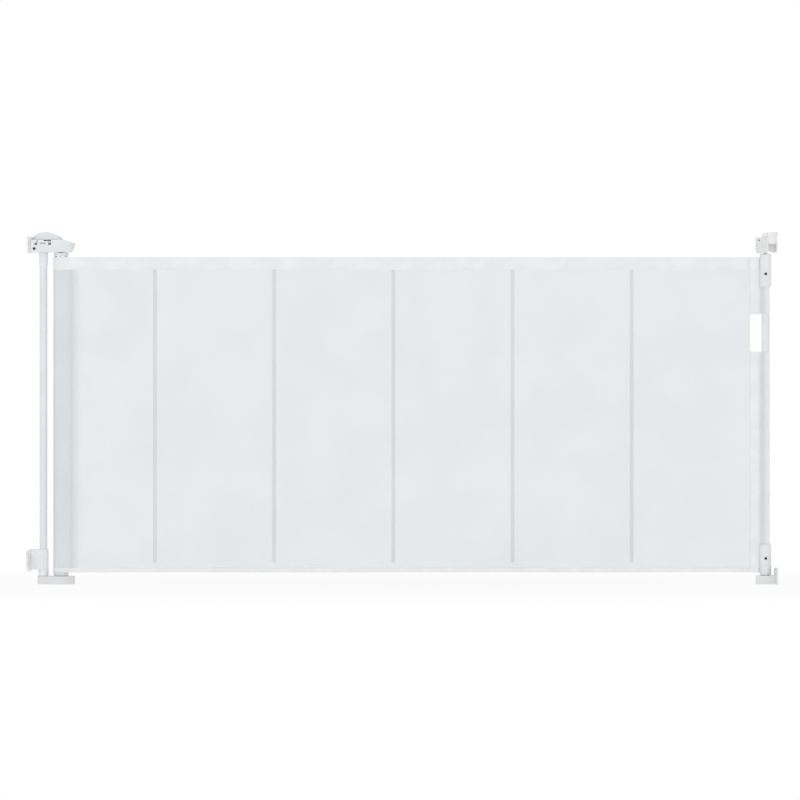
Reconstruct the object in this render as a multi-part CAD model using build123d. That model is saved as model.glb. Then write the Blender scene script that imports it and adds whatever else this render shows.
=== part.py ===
from build123d import *
import math
import os

# Retractable mesh safety gate in a wall opening. Millimetres, +Z up, +X from the roller side to the catch side,
# -Y the front. The origin is on the floor level of the base, midway between the walls.

# Overall sizes
opening = 1855.0  # between the two walls
height = 870.0  # floor side of the base to the top of the handle

# Clearances
running = 0.06  # radial, shaft in bush or pin in bore
seat = 0.05  # between pieces fixed in each other
gap = 0.3  # between pieces that move past each other

# Plastic walls
shell = 2.5
floor_thick = 3.5

# Left unit, distances from the left wall
pole_reach = 41.0
roller_reach = 84.5
pole_radius = 9.5
tube_wall = 1.2

# Roller and mesh
roller_radius = 16.0
wrap_thick = 2.4  # the wraps of mesh that stay on the roller
journal_radius = 6.0
lower_journal_radius = 8.0
flange_height = 8.0
mesh_thick = 1.0
mesh_rise = 29.0  # lower edge of the mesh above the floor
mesh_drop = 12.5  # upper edge of the mesh below the head
plug_depth = 21.0
shaft_radius = 4.0
spring_rise = 220.0  # lower edge of the mesh to the hub that the retracting spring hooks into
shaft_beyond = 30.0  # shaft above the foot of that hub
retract_wire = 1.6
retract_coil_radius = 7.5
retract_pitch = 10.0
hub_height = 12.0
hub_hole = 2.5

# Head
head_drop = 49.5  # top of the handle to the underside of the head
head_back = 11.0
head_margin = 15.0  # head wall outside the roller tube
nose_shift = 3.5  # nose centre beyond the roller axis
seam_rise = 15.5
deck_rise = 27.2
nose_rise = 30.5
nose_slope = 8.0
nose_undercut = 8.0
pole_sleeve_wall = 1.5
pole_sleeve_length = 32.5
head_screw_reach = 29.0  # from the left wall
head_screw_side = 24.0  # from the middle plane
nose_screw_inset = 13.0  # from the tip of the nose
boss_radius = 4.0  # round the screws of the head and the base
front_screw_reach = 19.5
front_screw_rise = 8.5
front_screw_end = 6.0  # from the middle plane
front_boss_width = 9.0
front_boss_end = 12.5  # from the middle plane
front_boss_height = 10.0

# Child lock
handle_reach = 50.5
handle_length = 77.0
handle_width = 40.0
handle_peak_shift = -6.5
handle_skirt = 3.0
press_travel = 3.0
spindle_radius = 5.0
square_side = 7.0
crank_radius = 2.0 * math.sqrt(2.0)  # the bolt moves 4 mm in a quarter turn
crank_pin_radius = 1.5
collar_radius = 9.0
notch_count = 12
wheel_radius = 15.0
wheel_thick = 5.0
notch_depth = 4.6
bolt_near = 42.0
bolt_far = 62.0
bolt_tip = 3.0
bolt_half_width = 8.0
bolt_height = 6.4
guide_near = 38.0
guide_far = 64.0
guide_rail = 6.0
guide_thick = 2.0
guide_screw_length = 8.0
collar_flange = 3.5
collar_flange_thick = 2.0
crank_disc_radius = 6.5
crank_disc_thick = 3.0
square_length = 11.0
handle_boss_radius = 8.5
handle_screw_head = 1.7
handle_screw_length = 15.0

# Wall plates
ear_reach = 38.0
ear_thick = 4.0
ear_corner = 6.0
hole_spread = 66.0
hole_radius = 2.5
upper_plate_low = -2.5  # from the underside of the head
upper_plate_height = 41.0
upper_plate_side = 27.0
groove_count = 7
groove_half = 0.5
upper_tongue_reach = 26.0
upper_tongue_half = 12.0
upper_tongue_height = 10.0
lower_plate_thick = 9.5
lower_plate_low = 31.0
lower_plate_high = 86.5
lower_plate_side = 16.0
lower_plate_round = 7.0
lower_ear_inset = 9.0
lower_tongue_reach = 24.0
lower_tongue_half = 8.0
lower_tongue_rise = 14.0
lower_tongue_drop = 11.5

# Base and lower bracket
base_height = 20.3
base_margin = 5.0  # base rim outside the pole
base_skirt = 3.0
base_plate = 2.5
base_screw_reach = 62.0
base_screw_side = 13.0
base_nose_screw_inset = 11.0
bush_rise = 8.0
pole_foot = 6.0
bracket_sleeve_wall = 3.0
bracket_low = 36.0
bracket_half_width = 14.0
bracket_screw_reach = 17.0

# Post, distances from the right wall
post_reach = 29.2
post_radius = 10.0
pocket_thick = 1.2
cap_radius = 14.0
cap_pin_radius = 4.5
top_pin_length = 13.0
bottom_pin_length = 5.5
post_lift = 6.0  # frees the bottom pin from its socket
top_cap_length = 81.0
bottom_cap_length = 76.0
top_cap_rise = 8.0  # top of the cap above the mesh
bottom_cap_drop = 7.0
top_screw_drop = 49.0
bottom_screw_rise = 42.0
post_screw_length = 10.0
hand_hole_drop = 139.0  # upper edge of the mesh to the top of the hand hole
hand_hole_length = 96.0
hand_hole_width = 40.2  # post axis to the edge of the panel
batten_pitch = 294.4
batten_first = 315.7  # from the left wall
batten_count = 5
batten_width = 3.0
batten_thick = 1.2
batten_clear = 30.0

# Catches, distances from the right wall
catch_reach = 53.0
catch_drop = 52.0
block_drop = 13.0
lower_cup_height = 21.5
lower_lip_height = 40.0
lower_lip_thick = 7.0
socket_depth = 6.0
flap_pivot_reach = 46.0
flap_pivot_drop = 20.4
flap_pin_radius = 2.0
block_half_width = 16.0
slot_half_width = 5.0
slot_reach = 34.0  # end of the slot for the flap's tail
hub_room = 5.0
hub_radius = 4.4
flap_half_width = 3.5
flap_bite = 7.0  # from the pivot to the face that stops the post
flap_tail = 10.8
flap_tail_thick = 2.6
flap_arm_drop = 10.0
button_near = 24.0
button_far = 38.0
button_half_width = 8.0
button_roof = 2.4
button_drop = 1.2  # button top below the top of the handle
button_travel = 6.3
recess_near = 3.0
recess_far = 23.0
recess_rise = 23.0
catch_wire = 0.7
catch_coil_radius = 3.2
lower_catch_half_width = 20.0

# Screws
screw_shank = 1.5
screw_head = 3.2
screw_head_height = 1.6

# Stations
left_wall = -opening / 2
right_wall = opening / 2
pole_x = left_wall + pole_reach
roller_x = left_wall + roller_reach
nose_x = roller_x + nose_shift
handle_x = left_wall + handle_reach
post_x = right_wall - post_reach
head_low = height - head_drop
head_seam = head_low + seam_rise
head_deck = head_low + deck_rise
nose_top = head_low + nose_rise
floor_top = head_low + floor_thick
half_width = roller_radius + head_margin
roll_radius = roller_radius + wrap_thick
mesh_low = mesh_rise
mesh_high = head_low - mesh_drop
flange_low = head_low - 1.5 - flange_height
panel_edge_x = post_x - hand_hole_width
hand_hole_high = mesh_high - hand_hole_drop
hand_hole_low = hand_hole_high - hand_hole_length
pocket_inner = post_radius + seat
pocket_outer = pocket_inner + pocket_thick
wheel_low = floor_top + 2.0
bolt_low = floor_top + gap
guide_low = bolt_low + bolt_height + gap
guide_high = guide_low + guide_thick
handle_low = head_deck + press_travel + gap
collar_low = guide_high + 7.0
cap_top = mesh_high + top_cap_rise
cap_bottom = mesh_low - bottom_cap_drop
flap_x = right_wall - flap_pivot_reach
flap_z = height - flap_pivot_drop
block_low = height - catch_drop
block_top = height - block_drop
block_x = right_wall - catch_reach
nose_tip = nose_x + half_width
spring_top = mesh_low + spring_rise
disc_high = collar_low - gap
disc_low = disc_high - crank_disc_thick
spindle_bore = disc_low + 1.9  # end of the counterbore for the screw of the handle
pocket_floor = block_top - button_travel + 0.4
button_top = height - button_drop


def box(x0, x1, y0, y1, z0, z1):
    return Pos((x0 + x1) / 2, (y0 + y1) / 2, (z0 + z1) / 2) * Box(x1 - x0, y1 - y0, z1 - z0)


def rod(x, y, z0, z1, radius):
    bottom = (Align.CENTER, Align.CENTER, Align.MIN)
    return Pos(x, y, z0) * Cylinder(radius, z1 - z0, align=bottom)


def cross_rod(x, z, y0, y1, radius):
    bottom = (Align.CENTER, Align.CENTER, Align.MIN)
    return Pos(x, y0, z) * Rot(-90, 0, 0) * Cylinder(radius, y1 - y0, align=bottom)


def ring(x, y, z0, z1, inner, outer):
    return rod(x, y, z0, z1, outer) - rod(x, y, z0, z1, inner)


def side_prism(points, y0, y1):
    """A polygon drawn in X and Z, as deep as y0 to y1."""
    return Pos(0, y1, 0) * extrude(Plane.XZ * Polygon(*points, align=None), amount=y1 - y0)


def screw(length, head=screw_head):
    """Pan-head screw: underside of the head at the origin, shank along -Z, cross recess in the head."""
    body = rod(0, 0, 0, screw_head_height, head) + rod(0, 0, -length, 0, screw_shank)
    body = fillet(body.edges().sort_by(Axis.Z)[-1], 0.6)
    blade = head * 0.65
    half = 0.35
    for angle in (0, 90):
        slot = box(-blade, blade, -half, half, screw_head_height - 0.8, screw_head_height + 1)
        body -= Rot(0, 0, angle) * slot
    return body


def screw_hole(length, head=screw_head, counterbore=screw_head_height):
    """The room that a screw takes, with its counterbore."""
    bore = rod(0, 0, -length - gap, 0, screw_shank + seat)
    return bore + rod(0, 0, 0, counterbore + 1.0, head + gap)


def coil(radius, wire, pitch, length, x, y, z):
    path = Helix(pitch=pitch, height=length, radius=radius)
    section = Plane(origin=path @ 0, z_dir=path % 0) * Circle(wire / 2)
    return Pos(x, y, z) * sweep(section, path=path, is_frenet=True)


def group(solids):
    return Compound(children=list(solids))


# Left unit


def head_plan(inset, z0, z1):
    """The D-shaped plan of the head between two heights, drawn in by an inset."""
    side = half_width - inset
    straight = box(left_wall + head_back + inset, nose_x, -side, side, z0, z1)
    return straight + rod(nose_x, 0, z0, z1, side)


def nose_cuts():
    """The two flat cuts that turn the round end into a nose: sloped on top and slanted back underneath."""
    far = nose_tip + 20
    start = nose_x + nose_shift
    slope = nose_slope / (nose_tip - start)
    lowest = nose_top - slope * (far - start)
    top = [(start, nose_top), (far, lowest), (far, nose_top + 20), (start, nose_top + 20)]
    foot = nose_tip - nose_undercut * (1 + 10 / seam_rise)
    under = [(nose_tip, head_seam), (foot, head_low - 10), (far, head_low - 10), (far, head_seam)]
    return side_prism(top, -60, 60) + side_prism(under, -60, 60)


def head_screw_spots():
    near = left_wall + head_screw_reach
    return [(near, -head_screw_side), (near, head_screw_side), (nose_tip - nose_screw_inset, 0.0)]


def front_screw_place():
    x = left_wall + front_screw_reach
    return Pos(x, -half_width + screw_head_height, head_low + front_screw_rise) * Rot(90, 0, 0)


def front_screw_length():
    return half_width - front_screw_end


def wall_holes(wall, depth, middle):
    """The two screw holes of a wall plate."""
    holes = []
    for side in (-1, 1):
        along_x = Pos(wall, side * hole_spread / 2, middle) * Rot(0, 90, 0)
        holes.append(along_x * Cylinder(hole_radius, depth))
    return holes[0] + holes[1]


def upper_wall_plate():
    low = head_low + upper_plate_low
    high = low + upper_plate_height
    plate = box(left_wall, left_wall + ear_thick, -ear_reach, ear_reach, low, high)
    plate = fillet(plate.edges().filter_by(Axis.X), ear_corner)
    face = left_wall + head_back - gap
    plate += box(left_wall, face, -upper_plate_side, upper_plate_side, low, high)
    for step in range(1, groove_count + 1):
        z = low + step * upper_plate_height / (groove_count + 1)
        for y in (-upper_plate_side, upper_plate_side):
            sides = (y - groove_half, y + groove_half)
            plate -= box(left_wall + ear_thick + 1, face + 1, *sides, z - groove_half, z + groove_half)
    tongue = (floor_top + gap, floor_top + upper_tongue_height)
    plate += box(face - 1, left_wall + upper_tongue_reach, -upper_tongue_half, upper_tongue_half, *tongue)
    plate -= wall_holes(left_wall, 3 * ear_thick, (low + high) / 2)
    return plate - front_screw_place() * screw_hole(front_screw_length())


def head_chassis():
    hollow = head_plan(shell, floor_top, head_seam + 1) - Pos(-1.2 * shell, 0, 0) * nose_cuts()
    tray = head_plan(0, head_low, head_seam) - nose_cuts() - hollow
    back = left_wall + head_back
    side = upper_tongue_half + gap
    tray -= box(back - 1, back + shell + 1, -side, side, floor_top, floor_top + upper_tongue_height + gap)
    boss_x = left_wall + front_screw_reach
    across = (boss_x - front_boss_width / 2, boss_x + front_boss_width / 2)
    tray += box(*across, -half_width + shell, -front_boss_end, floor_top - 1, floor_top + front_boss_height)
    for x, y in head_screw_spots():
        tray += rod(x, y, floor_top - 1, head_seam, boss_radius)
    for side in (-1, 1):
        inner = bolt_half_width + gap
        y0, y1 = sorted((side * inner, side * (inner + guide_rail)))
        tray += box(left_wall + guide_near, left_wall + guide_far, y0, y1, floor_top - 1, guide_low)
    sleeve_radius = pole_radius + pole_sleeve_wall
    tray += rod(pole_x, 0, head_low - pole_sleeve_length, floor_top, sleeve_radius)
    tray -= rod(pole_x, 0, head_low - pole_sleeve_length, floor_top - 1.5, pole_radius + seat)
    tray -= rod(roller_x, 0, head_low - 1, floor_top + 1, journal_radius + shell + seat)
    for x, y in head_screw_spots():
        tray -= Pos(x, y, head_low + screw_head_height) * Rot(180, 0, 0) * screw_hole(seam_rise)
    for x, y in guide_screw_spots():
        tray -= rod(x, y, guide_high - guide_screw_length - gap, guide_low + 1, screw_shank + seat)
    return tray - front_screw_place() * screw_hole(front_screw_length())


def head_cover():
    sweep_room = rod(handle_x, 0, head_deck, nose_top + 1, handle_length / 2 + 1.0)
    outside = head_plan(0, head_seam, nose_top) - nose_cuts() - sweep_room
    hollow_top = nose_top - nose_slope - shell
    cover = outside - head_plan(shell, head_seam - 1, hollow_top)
    straight = box(left_wall, nose_x - 2, -half_width, half_width, hollow_top - 1, head_deck - shell)
    cover -= straight & head_plan(shell, head_seam, head_deck)
    collar_top = collar_low + collar_flange_thick
    cover += rod(handle_x, 0, collar_top + gap, head_deck - 1, collar_radius + collar_flange)
    cover -= rod(handle_x, 0, head_seam, head_deck + 1, collar_radius + 0.1)
    for x, y in head_screw_spots():
        boss = outside & rod(x, y, head_seam, head_deck - shell + 0.5, boss_radius)
        cover += boss - rod(x, y, head_seam - 1, hollow_top - 1, screw_shank + seat)
    return cover


def head_screws():
    low = head_low + screw_head_height
    length = nose_top - nose_slope - shell - 1.5 - low
    return group(Pos(x, y, low) * Rot(180, 0, 0) * screw(length) for x, y in head_screw_spots())


def head_front_screw():
    return front_screw_place() * screw(front_screw_length())


def top_bush():
    inner, outer = journal_radius + running, journal_radius + shell
    bush = ring(roller_x, 0, head_low, floor_top, inner, outer)
    return bush + ring(roller_x, 0, floor_top, floor_top + 1.2, inner, outer + 2)


def pole():
    return ring(pole_x, 0, pole_foot + seat, floor_top - 1.7, pole_radius - tube_wall, pole_radius)


def guide_screw_spots():
    side = bolt_half_width + gap + guide_rail / 2
    ends = (left_wall + guide_near + guide_rail / 2, left_wall + guide_far - guide_rail / 2)
    return [(x, y) for x in ends for y in (-side, side)]


def lock_guide():
    side = bolt_half_width + gap + guide_rail
    plate = box(left_wall + guide_near, left_wall + guide_far, -side, side, guide_low, guide_high)
    plate = fillet(plate.edges().filter_by(Axis.Z), 2.0)
    plate -= rod(handle_x, 0, guide_low - 1, guide_high + 1, crank_radius + crank_pin_radius + 0.8)
    for x, y in guide_screw_spots():
        plate -= rod(x, y, guide_low - 1, guide_high + 1, screw_shank + seat)
    return plate


def guide_screws():
    return group(Pos(x, y, guide_high) * screw(guide_screw_length, head=2.6) for x, y in guide_screw_spots())


def spring_shaft():
    return rod(roller_x, 0, base_plate + seat, spring_top + shaft_beyond, shaft_radius)


def retract_spring():
    low = mesh_low + plug_depth + 3.0
    length = spring_top - 3.0 - low
    return coil(retract_coil_radius, retract_wire, retract_pitch, length, roller_x, 0, low)


def bottom_bush():
    inner, outer = lower_journal_radius + running, lower_journal_radius + shell
    return ring(roller_x, 0, bush_rise, base_height + 0.5, inner, outer)


def base_plan(inset, z0, z1):
    """The drop-shaped plan of the base: a small round end at the pole and a large one at the roller."""
    small = Pos(pole_x, 0) * Circle(pole_radius + base_margin - inset)
    large = Pos(nose_x, 0) * Circle(half_width - inset)
    drop = make_hull(small.edges() + large.edges())
    return Pos(0, 0, z0) * extrude(drop, amount=z1 - z0)


def base_screw_spots():
    near = left_wall + base_screw_reach
    return [(near, -base_screw_side), (near, base_screw_side), (nose_tip - base_nose_screw_inset, 0.0)]


def base_housing():
    housing = base_plan(0, 0, base_height)
    housing = chamfer(housing.edges().group_by(Axis.Z)[0], 2.0)
    housing = fillet(housing.edges().group_by(Axis.Z)[-1], 1.5)
    housing -= base_plan(base_skirt, -1, base_height - base_skirt)
    top = base_height - base_skirt + 1
    housing += rod(pole_x, 0, base_plate + seat, top, pole_radius + shell)
    housing += rod(roller_x, 0, bush_rise, top, lower_journal_radius + 2 * shell)
    for x, y in base_screw_spots():
        housing += rod(x, y, base_plate + seat, top, boss_radius)
        housing -= rod(x, y, 0, top - 1, screw_shank + seat)
    housing -= rod(pole_x, 0, pole_foot, base_height + 1, pole_radius + seat)
    return housing - rod(roller_x, 0, 0, base_height + 1, lower_journal_radius + shell + seat)


def base_cover():
    cover = base_plan(base_skirt + gap, 0, base_plate)
    cover += rod(roller_x, 0, base_plate - 1, bush_rise - gap, shaft_radius + 3.0)
    cover -= rod(roller_x, 0, base_plate, bush_rise + 1, shaft_radius + seat)
    for x, y in base_screw_spots():
        cover -= Pos(x, y, screw_head_height) * Rot(180, 0, 0) * screw_hole(6.0)
    return cover


def base_screws():
    low = screw_head_height
    length = base_height - base_skirt - low - 2.0
    return group(Pos(x, y, low) * Rot(180, 0, 0) * screw(length) for x, y in base_screw_spots())


def lower_tongue(room):
    """The tongue of the lower wall plate, grown on its free sides by the room round it."""
    low, high = lower_plate_low + lower_tongue_rise - room, lower_plate_high - lower_tongue_drop + room
    side = lower_tongue_half + room
    return box(left_wall + lower_plate_thick - 1, left_wall + lower_tongue_reach + room, -side, side, low, high)


def bracket_screw_place():
    middle = (lower_plate_low + lower_plate_high) / 2
    y = bracket_half_width - screw_head_height
    return Pos(left_wall + bracket_screw_reach, y, middle) * Rot(-90, 0, 0)


def lower_wall_plate():
    far = left_wall + lower_plate_thick
    plate = box(left_wall, far, -lower_plate_side, lower_plate_side, lower_plate_low, lower_plate_high)
    top_edge = plate.edges().filter_by(Axis.Y).group_by(Axis.Z)[-1].sort_by(Axis.X)[0]
    plate = fillet(top_edge, lower_plate_round)
    low, high = lower_plate_low + lower_ear_inset, lower_plate_high - lower_ear_inset
    ears = box(left_wall, left_wall + ear_thick, -ear_reach, ear_reach, low, high)
    plate += fillet(ears.edges().filter_by(Axis.X), ear_corner)
    plate += lower_tongue(0)
    plate -= wall_holes(left_wall, 3 * ear_thick, (low + high) / 2)
    return plate - bracket_screw_place() * screw_hole(bracket_half_width)


def lower_wall_bracket():
    near = left_wall + lower_plate_thick + gap
    block = box(near, pole_x, -bracket_half_width, bracket_half_width, bracket_low, lower_plate_high)
    block = fillet(block.edges().filter_by(Axis.X).group_by(Axis.Z)[-1], 4.0)
    sleeve_radius = pole_radius + bracket_sleeve_wall
    block += rod(pole_x, 0, base_height + gap, lower_plate_high, sleeve_radius)
    block -= rod(pole_x, 0, base_height, lower_plate_high + 1, pole_radius + seat)
    block -= lower_tongue(gap)
    return block - bracket_screw_place() * screw_hole(bracket_half_width)


def bracket_screw():
    return bracket_screw_place() * screw(bracket_half_width)


# Roller


def roller_tube():
    low = mesh_low + seat
    high = flange_low - seat
    return ring(roller_x, 0, low, high, roller_radius - tube_wall, roller_radius)


def roller_top_plug():
    inner = roller_radius - tube_wall - seat
    plug = rod(roller_x, 0, flange_low - plug_depth, flange_low + 1, inner)
    plug += rod(roller_x, 0, flange_low, flange_low + flange_height, roll_radius)
    plug = fillet(plug.edges().group_by(Axis.Z)[-1], 1.0)
    plug += rod(roller_x, 0, flange_low + flange_height - 1, wheel_low - 0.2, journal_radius)
    half = square_side / 2
    plug += box(roller_x - half, roller_x + half, -half, half, wheel_low - 1, wheel_low + wheel_thick - 0.2)
    return plug - rod(roller_x, 0, flange_low, wheel_low + wheel_thick + 1, screw_shank + seat)


def lock_wheel():
    half = square_side / 2 + seat
    wheel = rod(roller_x, 0, wheel_low, wheel_low + wheel_thick, wheel_radius)
    wheel -= box(roller_x - half, roller_x + half, -half, half, wheel_low - 1, wheel_low + wheel_thick + 1)
    notch_half = bolt_tip / 2 + gap
    floor_radius = wheel_radius - notch_depth
    levels = (wheel_low - 1, wheel_low + wheel_thick + 1)
    for index in range(notch_count):
        notch = box(-wheel_radius - 1, -floor_radius, -notch_half, notch_half, *levels)
        wheel -= Pos(roller_x, 0, 0) * Rot(0, 0, index * 360 / notch_count) * notch
    return wheel


def wheel_screw():
    return Pos(roller_x, 0, wheel_low + wheel_thick) * screw(12.0, head=6.0)


def roller_bottom_plug():
    inner = roller_radius - tube_wall - seat
    low = base_height + 0.5 + gap
    plug = rod(roller_x, 0, low, mesh_low, roll_radius)
    plug = fillet(plug.edges().group_by(Axis.Z)[0], 1.0)
    plug += rod(roller_x, 0, mesh_low - 1, mesh_low + plug_depth, inner)
    plug += rod(roller_x, 0, bush_rise + 1.0, low + 1, lower_journal_radius)
    return plug - rod(roller_x, 0, bush_rise, mesh_low + plug_depth + 1, shaft_radius + running)


def spring_hub():
    inner = roller_radius - tube_wall - seat
    hub = ring(roller_x, 0, spring_top, spring_top + hub_height, shaft_radius + running, inner)
    ring_radius = (shaft_radius + inner) / 2
    for angle in range(0, 360, 90):
        hole = rod(ring_radius, 0, spring_top - 1, spring_top + hub_height + 1, hub_hole)
        hub -= Pos(roller_x, 0, 0) * Rot(0, 0, angle) * hole
    return hub


def mesh_roll():
    return ring(roller_x, 0, mesh_low + seat, mesh_high, roller_radius + seat, roll_radius)


# Child lock


def dome(inset):
    """The arched handle, drawn in by an inset: a slot-shaped plan under two arcs that meet level at the peak."""
    shoulder = handle_low + handle_skirt
    rise = height - shoulder
    peak_x = handle_x + handle_peak_shift
    reaches = []
    for side in (-1, 1):
        reach = handle_length / 2 - side * handle_peak_shift
        radius = (reach**2 + rise**2) / (2 * rise)
        reaches.append(math.sqrt((radius - inset) ** 2 - (radius - rise) ** 2))
    left, right = peak_x - reaches[0], peak_x + reaches[1]
    peak = (peak_x, height - inset)
    left_arc = TangentArc(peak, (left, shoulder), tangent=(-1, 0))
    right_arc = TangentArc(peak, (right, shoulder), tangent=(1, 0))
    skirt = Polyline((left, shoulder), (left, handle_low), (right, handle_low), (right, shoulder))
    profile = make_face([*left_arc.edges(), *right_arc.edges(), *skirt.edges()])
    side_view = Pos(0, handle_width / 2, 0) * extrude(Plane.XZ * profile, amount=handle_width)
    plan = SlotOverall(handle_length - 2 * inset, handle_width - 2 * inset)
    return side_view & (Pos(handle_x, 0, handle_low) * extrude(plan, amount=height - handle_low))


def lock_handle():
    outer = dome(0)
    crown = [edge for edge in outer.edges() if edge.center().Z > handle_low + 1]
    across = outer.edges().filter_by(Axis.Y)
    outer = fillet([edge for edge in crown if edge not in across], 2.0)
    handle = outer - dome(shell + 0.5)
    boss = rod(handle_x, 0, handle_low, height - 1.5, handle_boss_radius)
    handle += boss & dome(0.5)
    half = square_side / 2 + seat
    square_top = handle_low + square_length + 0.2
    handle -= box(handle_x - half, handle_x + half, -half, half, handle_low - 1, square_top)
    return handle - rod(handle_x, 0, handle_low, handle_low + handle_screw_length + 0.5, screw_shank + seat)


def handle_spindle():
    spindle = rod(handle_x, 0, disc_low, disc_high, crank_disc_radius)
    spindle += rod(handle_x, 0, disc_low, handle_low - 0.2, spindle_radius)
    half = square_side / 2
    spindle += box(handle_x - half, handle_x + half, -half, half, handle_low - 1, handle_low + square_length)
    offset = crank_radius / math.sqrt(2.0)
    pin_low = floor_top + press_travel + 0.5
    spindle += rod(handle_x - offset, offset, pin_low, disc_low + 1, crank_pin_radius)
    spindle -= rod(handle_x, 0, disc_low - 1, handle_low + square_length + 1, screw_shank + seat)
    return spindle - rod(handle_x, 0, disc_low - 1, spindle_bore, handle_screw_head + 0.15)


def handle_screw():
    head = rod(handle_x, 0, spindle_bore - screw_head_height, spindle_bore, handle_screw_head)
    return head + rod(handle_x, 0, spindle_bore - 0.1, handle_low + handle_screw_length, screw_shank)


def lock_collar():
    bore = spindle_radius + running
    collar = ring(handle_x, 0, collar_low, handle_low - gap, bore, collar_radius)
    flange_top = collar_low + collar_flange_thick
    return collar + ring(handle_x, 0, collar_low, flange_top, bore, collar_radius + collar_flange)


def collar_spring():
    wire = 1.0
    room = collar_low - guide_high - wire - 2 * gap
    return coil(collar_radius + 1.5, wire, room / 3, room, handle_x, 0, guide_high + wire / 2 + gap)


def lock_bolt():
    wheel_edge = roller_x - wheel_radius
    near, far = left_wall + bolt_near, left_wall + bolt_far
    top = bolt_low + bolt_height
    bolt = box(near, far, -bolt_half_width, bolt_half_width, bolt_low, top)
    half = bolt_tip / 2
    bolt += box(far - 1, wheel_edge - 0.5, -half, half, wheel_low + gap, top)
    slot_x = handle_x - crank_radius / math.sqrt(2.0)
    reach = crank_pin_radius + gap
    return bolt - box(slot_x - reach, slot_x + reach, -0.5, crank_radius + reach + 0.5, bolt_low - 1, top + 1)


# Barrier


def panel_slab(near_x, far_x, behind, thick, low, high):
    """A flat slab in the plane of the panel, some distance behind its front face."""
    front_y = -roll_radius - gap - mesh_thick
    end_y = -mesh_thick / 2
    span = panel_edge_x - roller_x
    front = [front_y + (end_y - front_y) * (x - roller_x) / span + behind for x in (near_x, far_x)]
    outline = [(near_x, front[0]), (far_x, front[1]), (far_x, front[1] + thick), (near_x, front[0] + thick)]
    return Pos(0, 0, low) * extrude(Polygon(*outline, align=None), amount=high - low)


def mesh_panel():
    return panel_slab(roller_x, panel_edge_x, 0, mesh_thick, mesh_low, mesh_high)


def mesh_battens():
    low, high = mesh_low + batten_clear, mesh_high - batten_clear
    battens = []
    for index in range(batten_count):
        x = left_wall + batten_first + index * batten_pitch
        if x + batten_width < panel_edge_x:
            battens.append(panel_slab(x, x + batten_width, mesh_thick + seat, batten_thick, low, high))
    return group(battens)


def pocket(low, high):
    """Mesh sewn round the post, with the tail that joins it to the panel."""
    sewn = ring(post_x, 0, low, high, pocket_inner, pocket_outer)
    half = mesh_thick / 2
    tail = box(panel_edge_x + 0.05, post_x, -half, half, low, high) - rod(post_x, 0, low, high, pocket_inner)
    return sewn + tail


def mesh_pocket_upper():
    return pocket(hand_hole_high, mesh_high - seat) - post_screw_room()


def mesh_pocket_lower():
    return pocket(mesh_low + seat, hand_hole_low) - post_screw_room()


def post_screw_places():
    y = -cap_radius + screw_head_height * 0.4
    levels = (cap_top - top_screw_drop, cap_bottom + bottom_screw_rise)
    return [Pos(post_x, y, z) * Rot(90, 0, 0) for z in levels]


def post_screw_room():
    first, second = (place * screw_hole(post_screw_length) for place in post_screw_places())
    return first + second


def post_tube():
    tube = ring(post_x, 0, mesh_low + seat, mesh_high - seat, post_radius - tube_wall, post_radius)
    return tube - post_screw_room()


def post_cap(end, direction, length, pin_length):
    """A cap that grips the end of the post: slit outer sleeve, inner plug, end disc and pin."""
    inner_end = mesh_high if direction > 0 else mesh_low
    disc = sorted((inner_end, end))
    sleeve = sorted((end - direction * length, end))
    cap = rod(post_x, 0, *sleeve, cap_radius)
    cap = fillet(cap.edges().group_by(Axis.Z)[-1 if direction > 0 else 0], 2.0)
    cap -= rod(post_x, 0, sleeve[0] - 1, sleeve[1] + 1, pocket_outer + seat) - rod(post_x, 0, *disc, cap_radius)
    plug = sorted((end - direction * (length + 8.0), inner_end + direction))
    cap += rod(post_x, 0, *plug, post_radius - tube_wall - seat)
    slit = mesh_thick / 2 + gap
    edge = sorted((end - direction * (length + 1), inner_end))
    cap -= box(post_x - cap_radius - 1, post_x - pocket_outer, -slit, slit, *edge)
    pin = sorted((end - direction, end + direction * pin_length))
    cap += rod(post_x, 0, *pin, cap_pin_radius)
    return cap - post_screw_room()


def post_top_cap():
    return post_cap(cap_top, 1, top_cap_length, top_pin_length)


def post_bottom_cap():
    return post_cap(cap_bottom, -1, bottom_cap_length, bottom_pin_length)


def post_screws():
    return group(place * screw(post_screw_length) for place in post_screw_places())


# Right unit


def wall_ears(thick, low, high):
    """A plate against the right wall with a screw hole in each ear."""
    plate = box(right_wall - thick, right_wall, -ear_reach, ear_reach, low, high)
    plate = fillet(plate.edges().filter_by(Axis.X), ear_corner)
    return plate - wall_holes(right_wall, 4 * ear_thick, (low + high) / 2)


def upper_catch_body():
    recess_x = right_wall - recess_far
    recess_top = block_low + recess_rise
    body = box(block_x, recess_x, -block_half_width, block_half_width, block_low, block_top)
    round_edges = body.edges().filter_by(Axis.Z).group_by(Axis.X)[0]
    body = fillet(round_edges, 8.0)
    side = block_half_width - 2
    body += box(recess_x - 1, right_wall, -side, side, recess_top, height)
    body += box(recess_x - 1, right_wall, side - 3, side, block_low + 2, recess_top + 1)
    body += wall_ears(recess_near, block_low + 2, height)
    slot = slot_half_width
    seat_top = flap_z - 1.6
    body -= box(block_x - 1, recess_x - gap - 1.0, -slot, slot, block_low - 1, seat_top)
    body -= box(block_x - 1, right_wall - slot_reach, -slot, slot, seat_top - 1, flap_z + hub_room)
    pocket_near, pocket_far = right_wall - button_near + gap, right_wall - button_far - gap
    pocket_side = button_half_width + gap
    body -= box(pocket_far, pocket_near, -pocket_side, pocket_side, pocket_floor, height + 1)
    cap_room = cap_radius + 2 * gap
    room_top = cap_top + post_lift + 2 * gap
    body -= box(block_x - 1, post_x + cap_room, -cap_room, cap_room, block_low - 1, room_top)
    return body - cross_rod(flap_x, flap_z, -block_half_width - 1, block_half_width + 1, flap_pin_radius + seat)


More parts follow.
